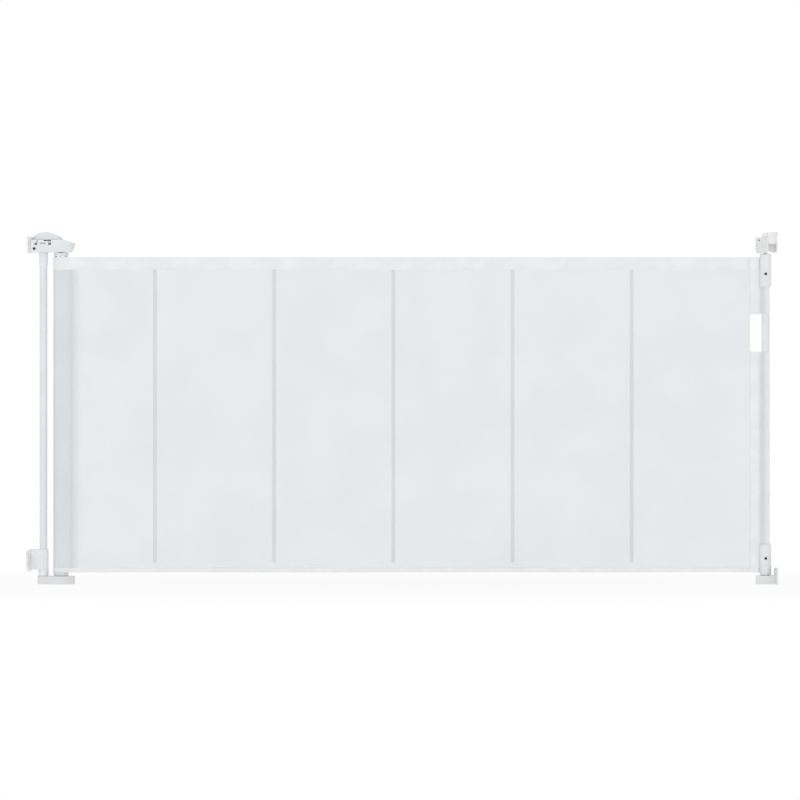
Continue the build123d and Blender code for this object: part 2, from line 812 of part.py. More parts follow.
def flap_pin():
    end = block_half_width + 0.4
    return cross_rod(flap_x, flap_z, -end, end, flap_pin_radius)


def catch_flap():
    half = slot_half_width - gap
    hub_low = -slot_half_width + 4.5
    low = cap_top + post_lift + 2.0
    arm_top = flap_z - flap_arm_drop
    near = flap_x - flap_half_width
    arm = box(near, flap_x + flap_bite, -half, half, low, arm_top)
    arm = fillet(arm.edges().filter_by(Axis.Y).group_by(Axis.Z)[0], 2.0)
    neck = box(near, flap_x + flap_half_width, hub_low, half, arm_top - 1, flap_z)
    hub = cross_rod(flap_x, flap_z, hub_low, half, hub_radius)
    tail = box(flap_x, flap_x + flap_tail, hub_low, half, flap_z - flap_tail_thick, flap_z)
    return arm + neck + hub + tail - cross_rod(flap_x, flap_z, -20, 20, flap_pin_radius + running)


def flap_spring():
    wound = Rot(-90, 0, 0) * coil(catch_coil_radius, catch_wire, 0.85, 2.6, 0, 0, 0)
    return Pos(flap_x, -slot_half_width + 0.8, flap_z) * wound


def flap_button():
    near, far = right_wall - button_near, right_wall - button_far
    side = button_half_width
    button = box(far, near, -side, side, block_top + gap, button_top)
    upper = button.edges().filter_by(Axis.Y).group_by(Axis.Z)[-1].sort_by(Axis.X)[0]
    button = fillet(upper, 4.0)
    wall = 1.6
    button -= box(far + 3.6, near - wall, wall - side, side - wall, block_top - 1, button_top - button_roof)
    return button + box(far, far + 2.8, -2.5, 2.5, flap_z + gap, button_top - 5.0)


def button_spring():
    clear = catch_wire / 2 + gap
    low = pocket_floor + clear
    high = button_top - button_roof - clear
    middle = right_wall - (button_near + button_far - 2.0) / 2
    return coil(catch_coil_radius, catch_wire, (high - low) / 5, high - low, middle, 0, low)


def lower_catch():
    side = lower_catch_half_width
    cup = box(block_x, right_wall, -side, side, 0, lower_cup_height)
    cup = fillet(cup.edges().filter_by(Axis.Z).group_by(Axis.X)[0], 12.0)
    cup = chamfer(cup.edges().group_by(Axis.Z)[0], 1.5)
    cup += box(right_wall - lower_lip_thick, right_wall, -side, side, 0, lower_lip_height)
    cup += wall_ears(ear_thick, 0, lower_lip_height)
    return cup - rod(post_x, 0, lower_cup_height - socket_depth, lower_cup_height + 1, cap_pin_radius + gap)


pieces = [
    upper_wall_plate, head_chassis, head_cover, head_screws, head_front_screw, top_bush, pole, lock_guide,
    guide_screws, spring_shaft, retract_spring, bottom_bush, base_housing, base_cover, base_screws,
    lower_wall_plate, lower_wall_bracket, bracket_screw, roller_tube, roller_top_plug, lock_wheel, wheel_screw,
    roller_bottom_plug, spring_hub, mesh_roll, lock_handle, handle_spindle, handle_screw, lock_collar,
    collar_spring, lock_bolt, mesh_panel, mesh_battens, mesh_pocket_upper, mesh_pocket_lower, post_tube,
    post_top_cap, post_bottom_cap, post_screws, upper_catch_body, flap_pin, catch_flap, flap_spring,
    flap_button, button_spring, lower_catch,
]
os.makedirs("parts", exist_ok=True)
for piece in pieces:
    export_step(piece(), f"parts/{piece.__name__}.step")
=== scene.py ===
import math

import bmesh
import bpy
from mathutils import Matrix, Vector
from mathutils.bvhtree import BVHTree


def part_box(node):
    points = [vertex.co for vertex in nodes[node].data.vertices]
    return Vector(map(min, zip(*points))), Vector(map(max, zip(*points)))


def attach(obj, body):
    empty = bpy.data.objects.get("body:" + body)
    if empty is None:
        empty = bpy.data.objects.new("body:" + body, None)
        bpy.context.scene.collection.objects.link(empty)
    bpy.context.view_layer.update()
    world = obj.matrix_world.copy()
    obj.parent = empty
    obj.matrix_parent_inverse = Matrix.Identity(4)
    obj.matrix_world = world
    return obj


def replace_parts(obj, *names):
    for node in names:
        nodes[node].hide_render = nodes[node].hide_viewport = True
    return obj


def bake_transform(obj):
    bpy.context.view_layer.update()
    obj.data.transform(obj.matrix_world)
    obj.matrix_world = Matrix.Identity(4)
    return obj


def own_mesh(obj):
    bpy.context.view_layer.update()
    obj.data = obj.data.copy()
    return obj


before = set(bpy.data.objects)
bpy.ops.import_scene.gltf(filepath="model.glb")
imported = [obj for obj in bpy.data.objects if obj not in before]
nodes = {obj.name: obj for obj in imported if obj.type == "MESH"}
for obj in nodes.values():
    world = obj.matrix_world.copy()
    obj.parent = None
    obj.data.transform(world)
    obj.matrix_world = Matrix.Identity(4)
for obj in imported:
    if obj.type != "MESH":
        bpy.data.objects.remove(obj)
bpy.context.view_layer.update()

MM = 0.001

# ---------------------------------------------------------------- measures from the frame

roll_low, roll_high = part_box("mesh_roll")
panel_low, panel_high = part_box("mesh_panel")
post_low, post_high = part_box("post_tube")
batten_low, batten_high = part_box("mesh_battens")

roller_x = (roll_low.x + roll_high.x) / 2
roll_radius = (roll_high.x - roll_low.x) / 2
post_x = (post_low.x + post_high.x) / 2
post_radius = (post_high.x - post_low.x) / 2
mesh_bottom, mesh_top = panel_low.z, panel_high.z
mesh_height = mesh_top - mesh_bottom
edge_x = panel_high.x
hole_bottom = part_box("mesh_pocket_lower")[1].z
hole_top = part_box("mesh_pocket_upper")[0].z
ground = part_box("base_housing")[0].z
panel_span = edge_x - roller_x

# ---------------------------------------------------------------- sizes of the sewn parts

cloth_half = 0.5 * MM  # half the room that the mesh takes in its slab
wrap_gap = 0.3 * MM  # between the roll and the net that leaves it
lay_radius = roll_radius + wrap_gap + cloth_half
wrap_angle = math.radians(112)  # how far round the roll the net still lies
wrap_step = 1.2 * MM
cell = 7 * MM  # side of the quads of the mesh panel
lower_wave = 0.7 * MM
top_hem = 31 * MM
bottom_hem = 11 * MM
hem_puff = 0.5 * MM
hem_step = 5 * MM
top_seam_rises = (2.2 * MM, 5.2 * MM)  # the seams above the lower edge of the top hem
fold_seam_drop = 3.0 * MM
bottom_seam_rises = (9.0 * MM, 5.5 * MM)
stitch_pitch = 3.4 * MM
stitch_length = 2.5 * MM
stitch_half_width = 0.22 * MM
pocket_half = 4.5 * MM  # half the width of the sleeve over a batten
sleeve_overhang = 5 * MM
sleeve_run_out = 8 * MM
batten_step = 12 * MM
batten_widest = 5 * MM  # edges closer than this belong to one batten
batten_rounding = 1.5 * MM
batten_half_depth = 0.55 * MM
hole_corner = 8 * MM
binding_half_width = 1.9 * MM
binding_half_depth = 1.0 * MM
loop_gap = 0.55 * MM  # between the post and the net round it
tail_half = 0.35 * MM  # half the thickness of the doubled tail at the panel
tail_spread = 0.1 * MM  # what it gains on its way to the post
tail_slit = 5.2 * MM  # the tail goes this far before the post into the slit of the cap
roll_depth = 2.1 * MM  # the wraps that show on the roll
signs_rise = 6.2 * MM
sign_size = 8.0 * MM
sign_reach = 17 * MM
arrow_size = 7 * MM
signs_left = 10 * MM  # of the middle of the handle

# ---------------------------------------------------------------- places of the painted shade and light, and of other changes of tone

roll_shade_width = 58 * MM  # painted shade: the net is painted darker next to the roll, in the roll's shade
roll_shade_tone = (0.62, 0.67, 0.68, 1.0)
# spacing of the painted shade in the pleats of the net on the roll
pleat_width = 6.5 * MM
# painted shade in the holes of the knit
hole_shade_tone = (0.5, 0.52, 0.54, 1.0)
catch_lit_x = 902.0 * MM  # painted light: the wall end of the upper catch sits in shade and is painted paler from here
wall_light_tone = (0.865, 0.865, 0.865, 1.0)
post_shade_x = post_x - 6 * MM  # painted shade on the cloth drawn round the post, a little left of its middle
post_shade_reach = 14 * MM
post_shade_tone = (0.58, 0.61, 0.645, 1.0)
polished_tone = (0.93, 0.93, 0.93, 1.0)
# painted shade in the recesses of the mouldings
hollow_shade_tone = (0.46, 0.45, 0.43, 1.0)


# ---------------------------------------------------------------- small mesh helpers


def make_piece(name, verts, faces, materials, smooth=True):
    """A mesh object from its points and faces, with its materials; the ends of bars stay flat."""
    data = bpy.data.meshes.new(name)
    data.from_pydata([tuple(v) for v in verts], [], faces)
    data.validate()
    for face in data.polygons:
        face.use_smooth = smooth and len(face.vertices) <= 4
    for material in materials:
        data.materials.append(material)
    data.update()
    piece = bpy.data.objects.new(name, data)
    bpy.context.scene.collection.objects.link(piece)
    return piece


def spaced(start, end, step):
    """Even stations from start to end, no further apart than step."""
    count = max(1, math.ceil(abs(end - start) / step - 1e-6))
    return [start + (end - start) * i / count for i in range(count + 1)]


def grid_faces(columns, rows, closed=False, first=0):
    """Quads between columns of points that have rows points each."""
    faces = []
    for i in range(columns if closed else columns - 1):
        a, b = first + i * rows, first + (i + 1) % columns * rows
        for j in range(rows - 1):
            faces.append((a + j, b + j, b + j + 1, a + j + 1))
    return faces


def swept_bar(sections):
    """Points and quads of a closed bar through sections, each a ring of points."""
    ring = len(sections[0])
    verts = [point for section in sections for point in section]
    faces = []
    for i in range(len(sections) - 1):
        for j in range(ring):
            k = (j + 1) % ring
            faces.append((i * ring + j, i * ring + k, (i + 1) * ring + k, (i + 1) * ring + j))
    faces.append(tuple(reversed(range(ring))))
    faces.append(tuple(range((len(sections) - 1) * ring, len(sections) * ring)))
    return verts, faces


class Gathered:
    """Collects many small closed solids into one mesh."""

    def __init__(self):
        self.verts = []
        self.faces = []

    def add(self, verts, faces):
        first = len(self.verts)
        self.verts += verts
        self.faces += [tuple(first + i for i in face) for face in faces]

    def piece(self, name, materials):
        return make_piece(name, self.verts, self.faces, materials)


# ---------------------------------------------------------------- shader building


class Tree:
    """Short ways to add and join nodes of a material or a group."""

    def __init__(self, tree):
        self.tree = tree

    def add(self, kind, **settings):
        node = self.tree.nodes.new(kind)
        inputs = settings.pop("inputs", {})
        for key, value in settings.items():
            setattr(node, key, value)
        for key, value in inputs.items():
            self.feed(node.inputs[key], value)
        return node

    def feed(self, socket, value):
        if isinstance(value, bpy.types.NodeSocket):
            self.tree.links.new(value, socket)
        else:
            socket.default_value = value

    def math(self, operation, a, b=0.0, clamp=False):
        node = self.add("ShaderNodeMath", operation=operation, use_clamp=clamp, inputs={0: a, 1: b})
        return node.outputs[0]

    def mix(self, share, a, b):
        node = self.add("ShaderNodeMix", data_type="RGBA")
        self.feed(node.inputs[0], share)
        self.feed(node.inputs[6], a)
        self.feed(node.inputs[7], b)
        return node.outputs[2]

    def between(self, value, low, high, to_low=0.0, to_high=1.0):
        """The value mapped from one range to another and held at its ends."""
        values = {"Value": value, "From Min": low, "From Max": high, "To Min": to_low, "To Max": to_high}
        return self.add("ShaderNodeMapRange", interpolation_type="SMOOTHSTEP", inputs=values).outputs[0]

    def across(self, where):
        """How far across the opening a point lies."""
        return self.add("ShaderNodeSeparateXYZ", inputs={0: where}).outputs[0]

    def noise(self, where, scale, detail=2.0, roughness=0.5):
        values = {"Vector": where, "Scale": scale, "Detail": detail, "Roughness": roughness}
        return self.add("ShaderNodeTexNoise", inputs=values).outputs["Fac"]


def new_group(name, inputs, outputs):
    """A shader node group with named sockets: (tree helper, its inputs, the inputs of its output node)."""
    group = bpy.data.node_groups.new(name, "ShaderNodeTree")
    kinds = {float: "NodeSocketFloat", tuple: "NodeSocketColor", None: "NodeSocketVector"}
    for label, value in inputs.items():
        kind = kinds[None if value is None else type(value)]
        socket = group.interface.new_socket(label, in_out="INPUT", socket_type=kind)
        if value is not None:
            socket.default_value = value
    for label, kind in outputs.items():
        group.interface.new_socket(label, in_out="OUTPUT", socket_type=kinds[kind])
    tree = Tree(group)
    return tree, tree.add("NodeGroupInput").outputs, tree.add("NodeGroupOutput").inputs


def moulded_grain_group():
    """The fine spark-eroded grain of a moulding, with slow waves of the surface under it."""
    tree, given, result = new_group(
        "moulded_grain",
        {"Where": None, "Grain Size": 0.6 * MM, "Wave Size": 30 * MM},
        {"Height": float, "Waves": float},
    )
    fine = tree.noise(given["Where"], tree.math("DIVIDE", 1.0, given["Grain Size"]), 3.0, 0.6)
    waves = tree.noise(given["Where"], tree.math("DIVIDE", 1.0, given["Wave Size"]), 1.0)
    height = tree.math("ADD", tree.math("MULTIPLY", fine, 0.35), tree.math("MULTIPLY", waves, 0.65))
    tree.feed(result["Height"], height)
    tree.feed(result["Waves"], waves)
    return tree.tree


def tone_drift_group():
    """A slow change of tone over the surface, with fine specks."""
    inputs = {"Where": None, "Light": (1.0, 1.0, 1.0, 1.0), "Deep": (0.9, 0.9, 0.9, 1.0)}
    inputs |= {"Patch Size": 60 * MM, "Specks": 0.1}
    tree, given, result = new_group("tone_drift", inputs, {"Color": tuple, "Patches": float})
    patches = tree.noise(given["Where"], tree.math("DIVIDE", 1.0, given["Patch Size"]), 4.0, 0.55)
    specks = tree.noise(given["Where"], 900.0, 2.0)
    speckled = tree.math("MULTIPLY", tree.between(specks, 0.56, 0.72), given["Specks"])
    share = tree.math("ADD", tree.between(patches, 0.3, 0.7), speckled, clamp=True)
    tree.feed(result["Color"], tree.mix(share, given["Light"], given["Deep"]))
    tree.feed(result["Patches"], patches)
    return tree.tree


def edge_rub_and_hollow_shade_group():
    """Where handling has polished the corners of a piece, and a painted shade in its recesses."""
    inputs = {"Where": None, "Reach": 1.0}
    tree, given, result = new_group("edge_rub_and_hollow_shade", inputs, {"Rubbed": float, "Hollow_Shade": float})
    bend = tree.add("ShaderNodeNewGeometry").outputs["Pointiness"]
    broken = tree.noise(given["Where"], 260.0, 3.0)
    edges = tree.math("MULTIPLY", tree.between(bend, 0.52, 0.62), given["Reach"])
    hollows = tree.math("MULTIPLY", tree.between(bend, 0.47, 0.38), given["Reach"])
    tree.feed(result["Rubbed"], tree.math("MULTIPLY", edges, tree.between(broken, 0.35, 0.6), clamp=True))
    tree.feed(result["Hollow_Shade"], tree.math("MULTIPLY", hollows, tree.between(broken, 0.6, 0.3), clamp=True))
    return tree.tree


def knit_group():
    """A warp-knitted net: round holes in staggered rows with thread ridges between them."""
    tree, given, result = new_group(
        "knit_net",
        {"Where": None, "Spacing": 1.6 * MM, "Hole": 0.3, "Veil": 0.2},
        {"Cover": float, "Height": float, "Hollow": float},
    )
    turned = tree.add("ShaderNodeMapping", inputs={"Vector": given["Where"]})
    turned.inputs["Rotation"].default_value = (0.0, math.radians(45), 0.0)
    flat = tree.add("ShaderNodeSeparateXYZ", inputs={0: turned.outputs[0]}).outputs
    on_cloth = tree.add("ShaderNodeCombineXYZ", inputs={0: flat[0], 1: flat[2]}).outputs[0]
    cells = tree.add("ShaderNodeTexVoronoi", voronoi_dimensions="2D")
    tree.feed(cells.inputs["Vector"], on_cloth)
    tree.feed(cells.inputs["Scale"], tree.math("DIVIDE", 1.0, given["Spacing"]))
    tree.feed(cells.inputs["Randomness"], 0.12)
    rim = tree.math("ADD", given["Hole"], 0.12)
    solid = tree.between(cells.outputs["Distance"], given["Hole"], rim)
    tree.feed(result["Cover"], tree.math("MAXIMUM", solid, given["Veil"]))
    tree.feed(result["Height"], tree.between(cells.outputs["Distance"], given["Hole"], 0.6))
    tree.feed(result["Hollow"], tree.math("SUBTRACT", 1.0, solid))
    return tree.tree


def yarn_group():
    """Yarn of a tape or a folded hem: fine crossing ribs."""
    inputs = {"Where": None, "Yarn": 0.9 * MM}
    tree, given, result = new_group("woven_yarn", inputs, {"Height": float, "Shade": float})
    flat = tree.add("ShaderNodeSeparateXYZ", inputs={0: given["Where"]}).outputs
    turn = tree.math("DIVIDE", 2 * math.pi, given["Yarn"])
    warp = tree.math("SINE", tree.math("MULTIPLY", flat[0], turn))
    weft = tree.math("SINE", tree.math("MULTIPLY", flat[2], turn))
    ribs = tree.math("MULTIPLY", warp, weft)
    slack = tree.noise(given["Where"], 120.0, 3.0)
    tree.feed(result["Height"], tree.math("ADD", tree.math("MULTIPLY", ribs, 0.5), slack))
    tree.feed(result["Shade"], tree.between(slack, 0.3, 0.7))
    return tree.tree


groups = {
    "grain": moulded_grain_group(),
    "tone": tone_drift_group(),
    "rub_and_shade": edge_rub_and_hollow_shade_group(),
    "knit": knit_group(),
    "yarn": yarn_group(),
}


def new_material(name):
    """A material with its tree helper, its shader and the object's own coordinates."""
    material = bpy.data.materials.new(name)
    material.use_nodes = True
    material.node_tree.nodes.clear()
    tree = Tree(material.node_tree)
    shader = tree.add("ShaderNodeBsdfPrincipled")
    tree.add("ShaderNodeOutputMaterial", inputs={"Surface": shader.outputs[0]})
    where = tree.add("ShaderNodeTexCoord").outputs["Object"]
    return material, tree, shader.inputs, where


def place(tree, group, **values):
    """One of the shared effects, with its settings: (its outputs)."""
    node = tree.add("ShaderNodeGroup", node_tree=groups[group])
    for label, value in values.items():
        tree.feed(node.inputs[label.replace("_", " ")], value)
    return node.outputs


def raise_surface(tree, shader, height, strength, distance):
    """Lets the light follow a fine relief."""
    bump = tree.add("ShaderNodeBump", inputs={"Strength": strength, "Distance": distance, "Height": height})
    tree.feed(shader["Normal"], bump.outputs[0])


def moulded_plastic(name, light, deep, roughness, grain=0.6 * MM, hollow_shade=0.2, lit_from=None):
    """Injection-moulded plastic with a fine grain, polished edges and painted shade in its recesses; when
    given a start along x, painted paler from there against the shade it sits in.
    """
    material, tree, shader, where = new_material(name)
    tone = place(tree, "tone", Where=where, Light=light, Deep=deep)
    texture = place(tree, "grain", Where=where, Grain_Size=grain)
    rub_and_shade = place(tree, "rub_and_shade", Where=where, Reach=0.25)
    clean = tree.mix(tree.math("MULTIPLY", rub_and_shade["Rubbed"], 0.5), tone["Color"], polished_tone)
    # painted light: from the given x on, the part is painted paler, against the shade it sits in
    if lit_from is not None:
        lit_at_wall = tree.between(tree.across(where), lit_from, lit_from + 1.0 * MM)
        clean = tree.mix(lit_at_wall, clean, wall_light_tone)
    # painted shade in the recesses
    hollow_shaded = tree.math("MULTIPLY", rub_and_shade["Hollow_Shade"], hollow_shade)
    tree.feed(shader["Base Color"], tree.mix(hollow_shaded, clean, hollow_shade_tone))
    rough = tree.between(texture["Waves"], 0.2, 0.8, roughness - 0.06, roughness + 0.06)
    smoothed = tree.math("MULTIPLY", rub_and_shade["Rubbed"], 0.12)
    tree.feed(shader["Roughness"], tree.math("SUBTRACT", rough, smoothed))
    shader["Specular IOR Level"].default_value = 0.45
    raise_surface(tree, shader, texture["Height"], 0.35, 0.06 * MM)
    return material


def powder_coat(name, light, deep):
    """Powder-coated steel tube: a glossy skin with orange peel."""
    material, tree, shader, where = new_material(name)
    tone = place(tree, "tone", Where=where, Light=light, Deep=deep, Specks=0.25)
    texture = place(tree, "grain", Where=where, Grain_Size=1.8 * MM, Wave_Size=9 * MM)
    tree.feed(shader["Base Color"], tone["Color"])
    tree.feed(shader["Roughness"], tree.between(texture["Waves"], 0.2, 0.8, 0.26, 0.38))
    shader["Coat Roughness"].default_value = 0.12
    tree.feed(shader["Coat Weight"], tree.between(tone["Patches"], 0.2, 0.8, 0.25, 0.4))
    raise_surface(tree, shader, texture["Height"], 0.5, 0.08 * MM)
    return material


def bare_metal(name, light, deep, roughness, metallic=1.0):
    """Plated or oxidised steel with drawn scratches."""
    material, tree, shader, where = new_material(name)
    tone = place(tree, "tone", Where=where, Light=light, Deep=deep, Patch_Size=5 * MM, Specks=0.5)
    texture = place(tree, "grain", Where=where, Grain_Size=0.25 * MM, Wave_Size=3 * MM)
    rub_and_shade = place(tree, "rub_and_shade", Where=where)
    bright = (*(min(1.0, part * 1.5) for part in light[:3]), 1.0)
    tree.feed(shader["Base Color"], tree.mix(rub_and_shade["Rubbed"], tone["Color"], bright))
    rough = tree.between(texture["Waves"], 0.2, 0.8, roughness - 0.08, roughness + 0.1)
    tree.feed(shader["Roughness"], rough)
    shader["Metallic"].default_value = metallic
    raise_surface(tree, shader, texture["Height"], 0.4, 0.03 * MM)
    return material


def net_cloth(name, hole, veil, hole_shade, light, deep):
    """The open knitted net, with painted shade in its holes: close where it lies on the roll, with painted
    shade in its pleats there and beside the roll.
    """
    material, tree, shader, where = new_material(name)
    tone = place(tree, "tone", Where=where, Light=light, Deep=deep, Patch_Size=160 * MM, Specks=0.2)
    knit = place(tree, "knit", Where=where, Hole=hole, Veil=veil)
    across = tree.across(where)
    lying = tree.between(across, roller_x + 14 * MM, roller_x + 24 * MM, 1.0, 0.0)
    # painted shade in the pleats of the net on the roll
    pleat = tree.math("SINE", tree.math("MULTIPLY", across, 2 * math.pi / pleat_width))
    pleat_shade = tree.math("MULTIPLY", tree.math("MULTIPLY", tree.between(pleat, 0.2, 1.0), lying), 0.35)
    # painted shade beside the roll, which also makes the net more opaque there
    fading = tree.between(across, roller_x + 20 * MM, roller_x + roll_shade_width, 0.9, 0.0)
    roll_shade = tree.math("MULTIPLY", tree.math("SUBTRACT", 1.0, lying), fading)
    roll_shaded = tree.mix(tree.math("ADD", roll_shade, pleat_shade), tone["Color"], roll_shade_tone)
    # painted shade in the holes of the knit
    shaded = tree.math("MULTIPLY", knit["Hollow"], hole_shade)
    tree.feed(shader["Base Color"], tree.mix(shaded, roll_shaded, hole_shade_tone))
    tree.feed(shader["Roughness"], tree.between(tone["Patches"], 0.2, 0.8, 0.78, 0.9))
    tree.feed(shader["Alpha"], tree.math("MAXIMUM", knit["Cover"], tree.math("MAXIMUM", lying, roll_shade)))
    shader["Sheen Weight"].default_value = 0.15
    shader["Sheen Roughness"].default_value = 0.5
    shader["Specular IOR Level"].default_value = 0.2
    raise_surface(tree, shader, knit["Height"], 0.6, 0.2 * MM)
    return material


def hem_cloth(name, light, deep, shade_at=None):
    """Folded net and tape, close and opaque, with painted shade in the holes of its knit and, when given a
    place along x, a band of painted shade there.
    """
    material, tree, shader, where = new_material(name)
    tone = place(tree, "tone", Where=where, Light=light, Deep=deep, Patch_Size=45 * MM, Specks=0.2)
    yarn = place(tree, "yarn", Where=where)
    knit = place(tree, "knit", Where=where, Hole=0.2, Veil=1.0)
    # painted shade in the holes of the knit
    hole_shade = tree.math("MULTIPLY", knit["Hollow"], 0.3)
    colour = tree.mix(hole_shade, tone["Color"], deep)
    if shade_at is not None:
        # a band of painted shade, darkest at the given x
        off = tree.math("ABSOLUTE", tree.math("SUBTRACT", tree.across(where), shade_at))
        colour = tree.mix(tree.between(off, 0.0, post_shade_reach, 0.6, 0.0), colour, post_shade_tone)
    tree.feed(shader["Base Color"], colour)
    tree.feed(shader["Roughness"], tree.between(yarn["Shade"], 0.0, 1.0, 0.75, 0.9))
    shader["Sheen Weight"].default_value = 0.2
    shader["Specular IOR Level"].default_value = 0.2
    height = tree.math("ADD", yarn["Height"], tree.math("MULTIPLY", knit["Height"], 0.6))
    raise_surface(tree, shader, height, 0.6, 0.15 * MM)
    return material


def sewing_thread(name, light, deep):
    """Twisted polyester thread."""
    material, tree, shader, where = new_material(name)
    tone = place(tree, "tone", Where=where, Light=light, Deep=deep, Patch_Size=8 * MM)
    yarn = place(tree, "yarn", Where=where, Yarn=0.3 * MM)
    tree.feed(shader["Base Color"], tone["Color"])
    tree.feed(shader["Roughness"], tree.between(yarn["Shade"], 0.0, 1.0, 0.55, 0.7))
    raise_surface(tree, shader, yarn["Height"], 0.5, 0.05 * MM)
    return material


def printed_ink(name, light, deep):
    """Pad-printed ink, a little uneven."""
    material, tree, shader, where = new_material(name)
    tone = place(tree, "tone", Where=where, Light=light, Deep=deep, Patch_Size=2 * MM, Specks=0.6)
    texture = place(tree, "grain", Where=where, Grain_Size=0.3 * MM, Wave_Size=2 * MM)
    tree.feed(shader["Base Color"], tone["Color"])
    tree.feed(shader["Roughness"], tree.between(texture["Waves"], 0.2, 0.8, 0.45, 0.6))
    raise_surface(tree, shader, texture["Height"], 0.3, 0.02 * MM)
    return material


white_shell = moulded_plastic("white_shell", (0.775, 0.80, 0.82, 1.0), (0.73, 0.755, 0.775, 1.0), 0.42)
# painted light: paler than the head's plastic, against the shade in the recess by the wall where the upper
# wall plate sits; the flap button shares it
pale_shell = moulded_plastic(
    "pale_wall_plastic", (0.91, 0.91, 0.905, 1.0), (0.875, 0.875, 0.87, 1.0), 0.5, hollow_shade=0.05
)
grey_shell = moulded_plastic("cool_base_plastic", (0.72, 0.73, 0.745, 1.0), (0.675, 0.685, 0.705, 1.0), 0.46)
catch_shell = moulded_plastic("catch_plastic", (0.74, 0.755, 0.765, 1.0), (0.695, 0.71, 0.72, 1.0), 0.46)
# painted light: the upper catch is painted paler at its wall end, against the shade there
upper_catch_shell = moulded_plastic(
    "upper_catch_plastic", (0.74, 0.755, 0.765, 1.0), (0.695, 0.71, 0.72, 1.0), 0.46, lit_from=catch_lit_x
)
# painted light: paler than the base's plastic, against the shadow that the ear of the lower wall plate casts
# on the bracket
bracket_shell = moulded_plastic("bracket_plastic", (0.81, 0.82, 0.83, 1.0), (0.765, 0.775, 0.785, 1.0), 0.46)
inner_plastic = moulded_plastic(
    "inner_plastic", (0.42, 0.43, 0.44, 1.0), (0.36, 0.37, 0.38, 1.0), 0.5, hollow_shade=0.5
)
white_coating = powder_coat("white_coating", (0.76, 0.785, 0.80, 1.0), (0.72, 0.745, 0.76, 1.0))
plain_steel = bare_metal("plain_steel", (0.55, 0.55, 0.56, 1.0), (0.42, 0.42, 0.43, 1.0), 0.34)
zinc_screw = bare_metal("zinc_screw", (0.66, 0.66, 0.63, 1.0), (0.55, 0.56, 0.55, 1.0), 0.3)
black_screw = bare_metal(
    "black_screw", (0.035, 0.036, 0.04, 1.0), (0.02, 0.02, 0.022, 1.0), 0.42, metallic=0.6
)
dark_pin = bare_metal("dark_pin", (0.16, 0.16, 0.17, 1.0), (0.11, 0.11, 0.12, 1.0), 0.4, metallic=0.7)
net = net_cloth("mesh_cloth", 0.27, 0.25, 0.35, (0.76, 0.79, 0.815, 1.0), (0.72, 0.75, 0.775, 1.0))
# painted light: paler than the hem cloth, against the shade that the net in front casts on the roll
rolled_net = net_cloth(
    "rolled_mesh_cloth", 0.22, 1.0, 0.1, (0.93, 0.94, 0.945, 1.0), (0.89, 0.90, 0.905, 1.0)
)
hem = hem_cloth("hem_cloth", (0.85, 0.87, 0.88, 1.0), (0.80, 0.82, 0.83, 1.0))
# the hem cloth with a band of painted shade round the post
post_hem = hem_cloth("post_pocket_cloth", (0.85, 0.87, 0.88, 1.0), (0.80, 0.82, 0.83, 1.0), post_shade_x)
thread = sewing_thread("sewing_thread", (0.78, 0.80, 0.82, 1.0), (0.70, 0.72, 0.74, 1.0))
batten_plastic = moulded_plastic(
    "batten_plastic", (0.66, 0.68, 0.70, 1.0), (0.60, 0.62, 0.64, 1.0), 0.35, hollow_shade=0.1
)
ink = printed_ink("printed_ink", (0.10, 0.10, 0.115, 1.0), (0.16, 0.16, 0.175, 1.0))

# ---------------------------------------------------------------- finish of the machined and moulded parts

finishes = {
    "head_chassis": white_shell,
    "head_cover": white_shell,
    "lock_handle": white_shell,
    "upper_wall_plate": pale_shell,
    "lower_wall_plate": bracket_shell,
    "lower_wall_bracket": bracket_shell,
    "base_housing": grey_shell,
    "base_cover": grey_shell,
    "roller_top_plug": white_shell,
    "roller_bottom_plug": white_shell,
    "lock_collar": white_shell,
    "handle_spindle": white_shell,
    "post_top_cap": white_shell,
    "post_bottom_cap": white_shell,
    "upper_catch_body": upper_catch_shell,
    "catch_flap": catch_shell,
    "flap_button": pale_shell,
    "lower_catch": catch_shell,
    "pole": white_coating,
    "post_tube": white_coating,
    "roller_tube": plain_steel,
    "head_front_screw": black_screw,
    "post_screws": black_screw,
    "head_screws": zinc_screw,
    "guide_screws": zinc_screw,
    "base_screws": zinc_screw,
    "bracket_screw": zinc_screw,
    "wheel_screw": zinc_screw,
    "handle_screw": zinc_screw,
    "flap_pin": dark_pin,
    "spring_shaft": plain_steel,
    "retract_spring": plain_steel,
    "collar_spring": plain_steel,
    "flap_spring": plain_steel,
    "button_spring": plain_steel,
}

# width of the rounded edges, in millimetres
softened = {
    "head_chassis": 0.6,
    "head_cover": 0.8,
    "lower_wall_plate": 0.6,
    "lower_wall_bracket": 0.8,
    "base_cover": 0.4,
    "upper_catch_body": 0.6,
    "catch_flap": 0.5,
    "flap_button": 0.8,
    "post_top_cap": 0.4,
    "post_bottom_cap": 0.4,
}


def finish_cad_nodes():
    """Gives each made part its material, and the moulded ones rounded edges."""
    for name, node in nodes.items():
        node.data.materials.clear()
        node.data.materials.append(finishes.get(name, inner_plastic))
    for name, width in softened.items():
        weld = nodes[name].modifiers.new("joined_faces", "WELD")
        weld.merge_threshold = 0.002 * MM
        bevel = nodes[name].modifiers.new("soft_edges", "BEVEL")
        bevel.width = width * MM
        bevel.segments = 2
        bevel.limit_method = "ANGLE"
        bevel.angle_limit = math.radians(38)
        bevel.use_clamp_overlap = True
        bevel.harden_normals = False
        shading = nodes[name].modifiers.new("even_shading", "WEIGHTED_NORMAL")
        shading.keep_sharp = False
        shading.weight = 80


# ---------------------------------------------------------------- the net and what is sewn to it


